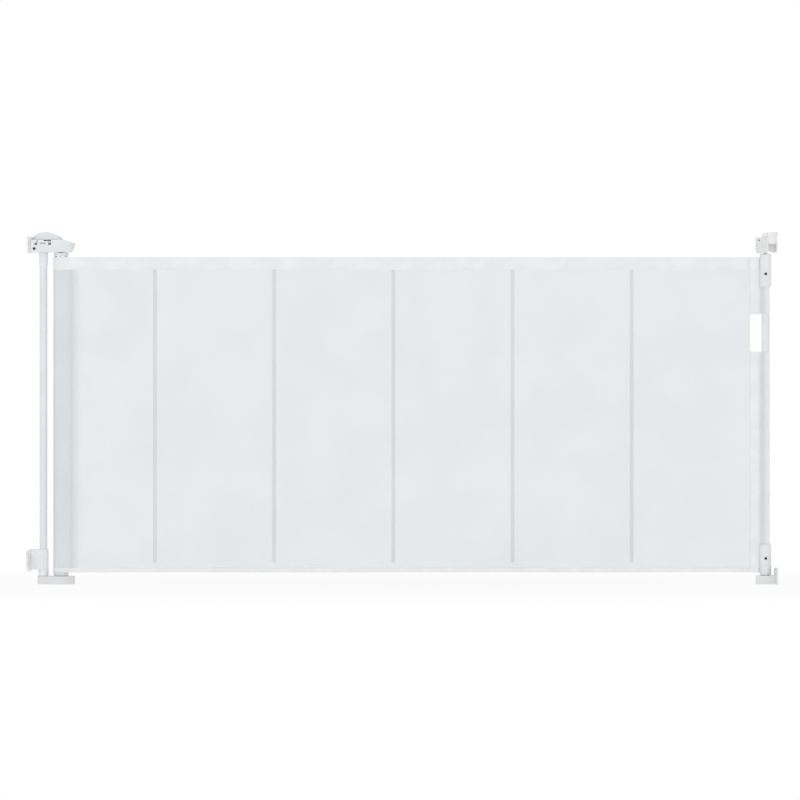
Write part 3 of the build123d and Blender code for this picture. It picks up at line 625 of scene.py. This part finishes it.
def panel_y(x, z):
    """The middle of the net: a straight run from the roll to the post, with the slack that it shows."""
    share = min(1.0, max(0.0, (x - roller_x) / panel_span))
    calm = math.sin(math.pi * share) ** 0.5 if 0 < share < 1 else 0.0
    high = (z - mesh_bottom) / mesh_height
    sway = 1.3 * math.sin(5.1 * x + 2.2 * high + 0.4) + 0.7 * math.sin(11.7 * x - 3.1 * high)
    crimp = 0.5 * math.sin(31.0 * x + 1.3) * (abs(2 * high - 1) ** 6)
    return -lay_radius * (1 - share) + calm * (sway + crimp) * MM


def lower_edge(x):
    """The lower edge of the net hangs in slight waves."""
    return mesh_bottom + lower_wave * (1 + math.sin(9.0 * x + 0.7)) / 2


def wrapped(station):
    """(x, y, outward direction) of the net at a station along it: below zero it lies round the roll."""
    angle = station / lay_radius
    ridge = 0.2 * MM * math.sin(17 * angle) * min(1.0, -station / (3 * MM))
    away = (math.sin(angle), -math.cos(angle))
    radius = lay_radius + ridge
    return roller_x + radius * away[0], radius * away[1], away


def on_panel(station, z, out=0.0):
    """A point of the net, moved outwards by out. Stations count from where the net leaves the roll."""
    if station < 0:
        x, y, away = wrapped(station)
        return Vector((x + away[0] * out, y + away[1] * out, z))
    x = roller_x + station
    return Vector((x, panel_y(x, z) - out, z))


def follow_panel(piece):
    """The piece rides on the body of the net, which moves towards the roll as the post is let back."""
    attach(piece, "mesh")
    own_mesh(piece)
    return piece


def panel_stations(step=cell):
    """Stations along the net, closer where it lies round the roll."""
    wrap = (roll_radius + cloth_half) * wrap_angle
    return spaced(-wrap, 0, wrap_step)[:-1] + spaced(0, panel_span, step)


def net_panel():
    """The net from the roll to the edge of the tail."""
    stations = panel_stations()
    shares = spaced(0, 1, cell / mesh_height)
    verts = []
    for s in stations:
        low = lower_edge(roller_x + max(s, 0))
        verts += [on_panel(s, low + (mesh_top - low) * share) for share in shares]
    return make_piece("mesh_panel_net", verts, grid_faces(len(stations), len(shares)), [net])


def hem_shares(folded_at_top):
    """Stations across a hem, close together at its seam and at its fold."""
    shares = [0.0, 0.008, 0.1, 0.25, 0.4, 0.55, 0.7, 0.85, 0.95, 0.985, 0.995, 1.0]
    return shares if folded_at_top else [1 - share for share in reversed(shares)]


def fullness(share, folded_at_top):
    """Half the thickness of a hem across its width: pinched at its seam, round at the fold."""
    if share in (0.0, 1.0):
        return 0.0
    to_fold = share if folded_at_top else 1 - share
    rounded = math.sqrt(1 - max(0.0, (to_fold - 0.975) / 0.025) ** 2)
    pinch = 0.6 + 0.4 * math.sin(math.pi * to_fold) ** 0.7
    return hem_puff * rounded * pinch


def hem_band(name, low_at, high_at, folded_at_top):
    """A hem: the net folded over itself, fuller at the fold than at the seam."""
    shares = hem_shares(folded_at_top)
    sections = []
    for s in panel_stations(hem_step):
        low, high = low_at(s), high_at(s)
        flat = min(1.0, 0.6 + 0.4 * (panel_span - s) / (12 * MM))
        ring = []
        for share in shares:
            ring.append(on_panel(s, low + (high - low) * share, flat * fullness(share, folded_at_top)))
        for share in reversed(shares[1:-1]):
            ring.append(on_panel(s, low + (high - low) * share, -flat * fullness(share, folded_at_top)))
        sections.append(ring)
    verts, faces = swept_bar(sections)
    return make_piece(name, verts, faces, [hem])


def stitch(start, end, out, depth):
    """One stitch that lies on both faces of the cloth: a flat bead from start to end."""
    along = (end - start).normalized()
    side = along.cross(out).normalized()
    sections = []
    for share, size in ((0.0, 0.35), (0.25, 1.0), (0.75, 1.0), (1.0, 0.35)):
        middle = start.lerp(end, share)
        across, up = side * stitch_half_width * size, out * depth * size
        sections.append([middle + across, middle + up, middle - across, middle - up])
    return swept_bar(sections)


def stitch_rows(name, rows, depth=0.75 * MM):
    """Rows of stitches; each row is a function from a length along it to (point, outward direction)."""
    sewn = Gathered()
    for row, length in rows:
        at = 0.5 * stitch_pitch
        while at + stitch_length < length:
            start, out = row(at)
            end, _ = row(at + stitch_length)
            sewn.add(*stitch(start, end, out, depth))
            at += stitch_pitch
    return sewn.piece(name, [thread])


front = Vector((0, -1, 0))


def level_row(height_at):
    """A row of stitches along the net, at a height that may change on the way."""
    return (lambda along: (on_panel(along, height_at(along)), front)), panel_span


def upright_row(station, low, high):
    """A row of stitches up the net."""
    return (lambda along: (on_panel(station, low + along), front)), high - low


def batten_places():
    """The left and right edge of each batten, from the frame."""
    xs = sorted({round(v.co.x, 4) for v in nodes["mesh_battens"].data.vertices})
    places = []
    for x in xs:
        if places and x - places[-1][0] < batten_widest:
            places[-1][1] = x
        else:
            places.append([x, x])
    return places


def batten_strips(places):
    """Flexible strips behind the net, with rounded ends."""
    low, high = batten_low.z, batten_high.z
    near_end = (0.0, 0.4 * batten_rounding, batten_rounding)
    levels = [low + rise for rise in near_end]
    levels += spaced(low + batten_step / 2, high - batten_step / 2, batten_step)
    levels += [high - drop for drop in reversed(near_end)]
    strips = Gathered()
    for near, far in places:
        middle, half = (near + far) / 2, (far - near) / 2
        sections = []
        for z in levels:
            from_end = min(z - low, high - z)
            share = min(1.0, 0.45 + 0.55 * from_end / batten_rounding)
            sections.append(strip_section(middle, half, z, share))
        strips.add(*swept_bar(sections))
    return strips.piece("batten_strips", [batten_plastic])


def strip_section(middle, half, z, share):
    """The lens-shaped section of a batten at a height."""
    y = panel_y(middle, z) + cloth_half + 0.65 * MM
    ring = []
    for i in range(12):
        angle = 2 * math.pi * i / 12
        bulge = abs(math.sin(angle)) ** 0.6 * math.copysign(1, math.sin(angle))
        x = middle + half * share * math.cos(angle)
        ring.append(Vector((x, y + batten_half_depth * share * bulge, z)))
    return ring


def batten_sleeves(places):
    """The tape sewn over each batten at the back, closed at both ends."""
    low, high = batten_low.z - sleeve_overhang, batten_high.z + sleeve_overhang
    sleeves = Gathered()
    for near, far in places:
        middle = (near + far) / 2
        sections = []
        for z in spaced(low, high, batten_step):
            end = min(1.0, (z - low) / sleeve_run_out, (high - z) / sleeve_run_out)
            ring = []
            for share in (-1.0, -0.8, -0.5, -0.3, 0.0, 0.3, 0.5, 0.8, 1.0):
                x = middle + share * pocket_half
                hump = max(0.0, 1 - abs(share) ** 2 / 0.36) * 1.25 * MM * end
                ring.append(Vector((x, panel_y(x, z) + 0.35 * MM + hump, z)))
            for share in (1.0, 0.5, 0.0, -0.5, -1.0):
                x = middle + share * pocket_half
                ring.append(Vector((x, panel_y(x, z) + 0.1 * MM, z)))
            sections.append(ring)
        sleeves.add(*swept_bar(sections))
    return sleeves.piece("batten_sleeves", [hem])


def low_at(station):
    """Height of the lower edge of the net at a station along it."""
    return lower_edge(roller_x + max(station, 0))


def sew_panel():
    """The net with its hems, battens and stitches."""
    places = batten_places()
    panel = follow_panel(net_panel())
    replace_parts(panel, "mesh_panel")
    top = hem_band("mesh_top_hem", lambda s: mesh_top - top_hem, lambda s: mesh_top, True)
    bottom = hem_band("mesh_bottom_hem", low_at, lambda s: low_at(s) + bottom_hem, False)
    follow_panel(top)
    follow_panel(bottom)
    rows = [level_row(lambda s, rise=rise: mesh_top - top_hem + rise) for rise in top_seam_rises]
    rows.append(level_row(lambda s: mesh_top - fold_seam_drop))
    rows += [level_row(lambda s, rise=rise: low_at(s) + rise) for rise in bottom_seam_rises]
    hem_stitches = follow_panel(stitch_rows("hem_stitching", rows, 0.72 * MM))
    rows = []
    for near, far in places:
        middle = (near + far) / 2 - roller_x
        for side in (-1, 1):
            rows.append(upright_row(middle + side * (pocket_half - 1.2 * MM), batten_low.z, batten_high.z))
    batten_stitches = follow_panel(stitch_rows("batten_stitching", rows, 0.55 * MM))
    strips = follow_panel(batten_strips(places))
    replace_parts(strips, "mesh_battens")
    sleeves = follow_panel(batten_sleeves(places))
    return panel, [top, bottom, hem_stitches, batten_stitches, strips, sleeves]


# ---------------------------------------------------------------- the net round the post

tail_end = post_x - post_radius - tail_slit


def tail_low(x):
    """Lower edge of the upper tail: it turns down into the panel at the rounded corner of the hand hole."""
    inset = min(hole_corner, x - edge_x)
    return hole_top - hole_corner + math.sqrt(max(0.0, hole_corner**2 - (hole_corner - inset) ** 2))


def tail_high(x):
    """Upper edge of the lower tail, which mirrors it."""
    return hole_bottom + hole_top - tail_low(x)


def post_loop(name, low_at, high_at, from_x):
    """A tail of doubled net from the panel to the post and once round it, sewn closed."""
    loop_radius = post_radius + loop_gap
    seam = post_x - loop_radius * math.cos(math.asin((tail_half + tail_spread) / loop_radius))
    tail = []
    for x in spaced(from_x, seam - 1.5 * MM, 1.6 * MM):
        tail.append((x, tail_half + tail_spread * (x - from_x) / (seam - from_x)))
    path = [(x, -y, x) for x, y in tail]
    turn = math.pi - math.radians(8)
    for i in range(37):
        angle = turn - 2 * turn * i / 36
        path.append((post_x + loop_radius * math.cos(angle), -loop_radius * math.sin(angle), post_x))
    path += [(x, y, x) for x, y in reversed(tail)]
    shares = spaced(0, 1, 5 * MM / (high_at(post_x) - low_at(post_x)))
    verts = []
    for x, y, at in path:
        low, high = low_at(at), high_at(at)
        verts += [Vector((x, y, low + (high - low) * share)) for share in shares]
    faces = grid_faces(len(path), len(shares), closed=True)
    return make_piece(name, verts, faces, [post_hem])


def across_lift(piece):
    """Bakes the placement of a piece between the panel and the post into its mesh."""
    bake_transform(piece)
    return piece


def tail_hem(name, low, high, folded_at_top):
    """The hem of the panel carried on over the tail, up to the cap of the post."""
    shares = hem_shares(folded_at_top)
    sides = [(share, -1) for share in shares] + [(share, 1) for share in reversed(shares[1:-1])]
    sections = []
    for x in spaced(edge_x - 0.4 * MM, tail_end, 2 * MM):
        ring = []
        for share, side in sides:
            swell = (fullness(share, folded_at_top) + 0.5 * MM) * onto_tail(x) if 0 < share < 1 else 0.0
            ring.append(Vector((x, side * swell, low + (high - low) * share)))
        sections.append(ring)
    verts, faces = swept_bar(sections)
    return make_piece(name, verts, faces, [hem])


def onto_tail(x):
    """The hem rises from the single net of the panel onto the doubled tail."""
    return min(1.0, 0.45 + 0.55 * (x - edge_x) / (8 * MM))


def hole_binding():
    """Tape bound round the edge of the hand hole."""
    near = edge_x + 0.2 * MM
    far = post_x - post_radius - 1.6 * MM
    inner = near + hole_corner
    high, low = hole_top - hole_corner, hole_bottom + hole_corner
    quarter = [math.pi / 2 * i / 8 for i in range(1, 9)]
    path = [Vector((x, 0, hole_top)) for x in spaced(far, inner, 2 * MM)]
    for a in quarter:
        path.append(Vector((inner - hole_corner * math.sin(a), 0, high + hole_corner * math.cos(a))))
    path += [Vector((near, 0, z)) for z in spaced(high, low, 4 * MM)[1:]]
    for a in quarter:
        path.append(Vector((inner - hole_corner * math.cos(a), 0, low - hole_corner * math.sin(a))))
    path += [Vector((x, 0, hole_bottom)) for x in spaced(inner, far, 2 * MM)[1:]]
    through = Vector((0, 1, 0))
    sections = []
    for i, point in enumerate(path):
        along = (path[min(i + 1, len(path) - 1)] - path[max(i - 1, 0)]).normalized()
        side = through.cross(along)
        ring = []
        for j in range(10):
            a = 2 * math.pi * j / 10
            off = side * (binding_half_width * math.cos(a)) + through * (binding_half_depth * math.sin(a))
            ring.append(point + off)
        sections.append(ring)
    verts, faces = swept_bar(sections)
    return make_piece("hand_hole_binding", verts, faces, [hem])


def sew_post_side():
    """The net round the post above and below the hand hole, with its binding, hems and stitches."""
    start_x = edge_x + 0.02 * MM
    upper = post_loop("post_loop_upper", tail_low, lambda x: mesh_top - 0.05 * MM, start_x)
    lower = post_loop("post_loop_lower", lambda x: mesh_bottom + 0.05 * MM, tail_high, start_x)
    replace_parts(across_lift(upper), "mesh_pocket_upper")
    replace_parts(across_lift(lower), "mesh_pocket_lower")
    binding = across_lift(hole_binding())
    top = across_lift(tail_hem("tail_top_hem", mesh_top - top_hem, mesh_top + 0.3 * MM, True))
    bottom = across_lift(tail_hem("tail_bottom_hem", mesh_bottom - 0.1 * MM, mesh_bottom + bottom_hem, False))
    rows = []
    inset = 2 * MM
    for x in (edge_x + 2.5 * MM, edge_x + 24.0 * MM):
        for low, high in ((mesh_bottom + inset, hole_bottom - inset), (hole_top + inset, mesh_top - inset)):
            rows.append(((lambda along, x=x, low=low: (Vector((x, 0, low + along)), front)), high - low))
    levels = [mesh_top - top_hem + rise for rise in top_seam_rises]
    levels += [mesh_top - fold_seam_drop, mesh_bottom + bottom_seam_rises[0]]
    for z in levels:
        rows.append(((lambda along, z=z: (Vector((edge_x + along, 0, z)), front)), tail_end - edge_x))
    seams = across_lift(stitch_rows("side_seam_stitching", rows, 1.05 * MM))
    return [upper, lower, binding, top, bottom, seams]


# ---------------------------------------------------------------- the roll


def roll_surface(name, low, high, inner, outer, turns, material):
    """Net wound on the tube: a spiral from the tube out to the last wrap, uneven as wound cloth is."""
    count = int(turns * 72)
    levels = spaced(low, high, 12 * MM)
    verts = []
    for i in range(count + 1):
        share = i / count
        angle = -math.pi / 2 - 2 * math.pi * turns * (1 - share)
        radius = inner + (outer - inner) * share
        for z in levels:
            pleat = 0.10 * math.sin(11 * angle + 0.02 * z / MM) + 0.06 * math.sin(23 * angle + 9.0 * z)
            r = radius + (pleat - 0.16) * MM
            verts.append(Vector((roller_x + r * math.cos(angle), r * math.sin(angle), z)))
    return make_piece(name, verts, grid_faces(count + 1, len(levels)), [material])


def wind_roll():
    """The wraps on the roller, with the wound ends of both hems."""
    inner = roll_radius - roll_depth
    outer = roll_radius - 0.1 * MM
    low, high = mesh_bottom + 0.4 * MM, mesh_top - 0.3 * MM
    roll = roll_surface("mesh_roll_net", low, high, inner, outer - 0.25 * MM, 3.0, rolled_net)
    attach(roll, "roller")
    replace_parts(roll, "mesh_roll")
    bands = []
    for name, low, high in (
        ("roll_top_hem", mesh_top - top_hem, mesh_top - 0.1 * MM),
        ("roll_bottom_hem", mesh_bottom + 0.2 * MM, mesh_bottom + bottom_hem),
    ):
        band = roll_surface(name, low, high, inner + 0.3 * MM, outer, 2.0, hem)
        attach(band, "roller")
        bands.append(band)
    return roll, bands


# ---------------------------------------------------------------- lock signs on the head


def raised_sign(name, outlines, centre_x, centre_z, node, body, depth=0.18 * MM):
    """Flat shapes printed on the front of a node: each outline is laid on it with a little thickness."""
    surface = BVHTree.FromObject(nodes[node], bpy.context.evaluated_depsgraph_get())
    shapes = Gathered()
    for outline in outlines:
        on_face, proud = [], []
        for x, z in outline:
            start = Vector((centre_x + x, -0.2, centre_z + z))
            hit = surface.ray_cast(start, Vector((0, 1, 0)))[0]
            on_face.append(hit + Vector((0, 0.05 * MM, 0)))
            proud.append(hit - Vector((0, depth, 0)))
        shapes.add(*swept_bar([on_face, proud]))
    sign = shapes.piece(name, [ink])
    for face in sign.data.polygons:
        face.use_smooth = False
    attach(sign, body)
    return sign


def arc_band(centre, radius, width, start, end, steps=14):
    """The outline of a curved band between two angles in degrees."""
    points = []
    for r, angles in ((radius + width / 2, range(steps + 1)), (radius - width / 2, range(steps, -1, -1))):
        for i in angles:
            a = math.radians(start + (end - start) * i / steps)
            points.append((centre[0] + r * math.cos(a), centre[1] + r * math.sin(a)))
    return points


def oblong(low_x, high_x, low_z, high_z):
    """The outline of an upright rectangle."""
    return [(low_x, low_z), (high_x, low_z), (high_x, high_z), (low_x, high_z)]


def padlock(x, size, is_open):
    """A padlock sign, open or shut, as outlines."""
    body = oblong(x - 0.42 * size, x + 0.42 * size, -0.5 * size, 0.08 * size)
    lean = 0.34 * size if is_open else 0.0
    bow = arc_band((x + lean, 0.22 * size), 0.26 * size, 0.13 * size, -5 if is_open else 0, 180)
    half = 0.065 * size
    legs = []
    for side in ((-1,) if is_open else (-1, 1)):
        leg_x = x + lean + side * 0.26 * size
        legs.append(oblong(leg_x - half, leg_x + half, 0.04 * size, 0.24 * size))
    return [body, bow, *legs]


def arrow(x, size):
    """A double arrow between the two signs."""
    outlines = [oblong(x - 0.5 * size, x + 0.5 * size, -0.07 * size, 0.07 * size)]
    for side in (-1, 1):
        point, foot = x + side * 0.95 * size, x + side * 0.42 * size
        tip = [(point, 0.0), (foot, 0.32 * size), (foot, -0.32 * size)]
        outlines.append(tip if side > 0 else tip[::-1])
    return outlines


def lock_signs():
    """Open and shut padlocks, one at each end of the handle's turn."""
    handle_low, handle_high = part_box("lock_handle")
    middle = (handle_low.x + handle_high.x) / 2 - signs_left
    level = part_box("head_cover")[0].z + signs_rise
    outlines = padlock(-sign_reach, sign_size, True) + arrow(0.0, arrow_size)
    outlines += padlock(sign_reach, sign_size, False)
    raised_sign("lock_signs", outlines, middle, level, "head_cover", "frame")


# ---------------------------------------------------------------- put it together

finish_cad_nodes()
panel, sewn_on = sew_panel()
post_pieces = sew_post_side()
roll, bands = wind_roll()
lock_signs()
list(sewn_on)

# ---------------------------------------------------------------- studio

studio_middle_x = -5.2 * MM
studio_middle_z = 455.3 * MM
field_width = 1.9776
camera_distance = 18.0
sensor = 36.0
floor_half = 30.0
lights = {
    "key_from_left": ((-4.6, -4.4, 2.2), (0, 0, 0.4), 3.0, 3.0, 58.0),
    "fill_from_front": ((1.2, -5.2, 1.2), (0.3, 0, 0.4), 3.0, 2.0, 24.0),
    "fill_from_right": ((4.6, -3.6, 1.5), (0.4, 0, 0.4), 2.6, 2.6, 20.0),
    "top_wash": ((0.0, 0.4, 3.4), (0, 0, 0.4), 3.0, 2.0, 14.0),
}


def studio_floor():
    """A plain pale floor that runs into white with distance."""
    corners = oblong(-floor_half, floor_half, -floor_half, floor_half)
    verts = [Vector((x, y, ground - 0.5 * MM)) for x, y in corners]
    material, tree, shader, where = new_material("studio_floor")
    distance = tree.add("ShaderNodeVectorMath", operation="LENGTH", inputs={0: where}).outputs["Value"]
    share = tree.between(distance, 0.2, 2.2, 0.8, 1.0)
    tree.feed(shader["Base Color"], (0.93, 0.93, 0.93, 1.0))
    shader["Roughness"].default_value = 0.9
    shader["Specular IOR Level"].default_value = 0.1
    glow = tree.add("ShaderNodeEmission", inputs={"Color": (1.0, 1.0, 1.0, 1.0), "Strength": 1.0})
    mixed = tree.add("ShaderNodeMixShader", inputs={0: share})
    principled = next(n for n in tree.tree.nodes if n.type == "BSDF_PRINCIPLED")
    tree.tree.links.new(principled.outputs[0], mixed.inputs[1])
    tree.tree.links.new(glow.outputs[0], mixed.inputs[2])
    output = next(n for n in tree.tree.nodes if n.type == "OUTPUT_MATERIAL")
    tree.tree.links.new(mixed.outputs[0], output.inputs["Surface"])
    floor = make_piece("studio_floor", verts, [(0, 1, 2, 3)], [material], smooth=False)


def soft_light(name, place, aim, width, height, power):
    """A rectangular softbox, itself out of sight."""
    lamp = bpy.data.lights.new(name, "AREA")
    lamp.shape = "RECTANGLE"
    lamp.size = width
    lamp.size_y = height
    lamp.energy = power
    holder = bpy.data.objects.new(name, lamp)
    holder.location = place
    holder.visible_camera = False
    holder.rotation_euler = (Vector(aim) - Vector(place)).to_track_quat("-Z", "Y").to_euler()
    bpy.context.scene.collection.objects.link(holder)


def studio_air():
    """White all round: seen as pure white, and a dimmer light on the object."""
    world = bpy.data.worlds.new("studio_air")
    world.use_nodes = True
    tree = Tree(world.node_tree)
    world.node_tree.nodes.clear()
    seen = tree.add("ShaderNodeLightPath").outputs["Is Camera Ray"]
    strength = tree.between(seen, 0.0, 1.0, 0.66, 1.0)
    back = tree.add("ShaderNodeBackground", inputs={"Color": (1.0, 1.0, 1.0, 1.0), "Strength": strength})
    tree.add("ShaderNodeOutputWorld", inputs={"Surface": back.outputs[0]})
    bpy.context.scene.world = world


def studio_camera():
    """A long lens straight at the front."""
    lens = bpy.data.cameras.new("studio_camera")
    lens.sensor_width = sensor
    lens.lens = sensor * camera_distance / field_width
    lens.dof.use_dof = False
    lens.clip_end = 100.0
    camera = bpy.data.objects.new("studio_camera", lens)
    camera.location = (studio_middle_x, -camera_distance, studio_middle_z)
    camera.rotation_euler = (math.radians(90), 0, 0)
    bpy.context.scene.collection.objects.link(camera)
    bpy.context.scene.camera = camera


studio_floor()
studio_air()
studio_camera()
for light_name, setting in lights.items():
    soft_light(light_name, *setting)
bpy.context.scene.view_settings.view_transform = "Standard"
bpy.context.scene.view_settings.look = "None"
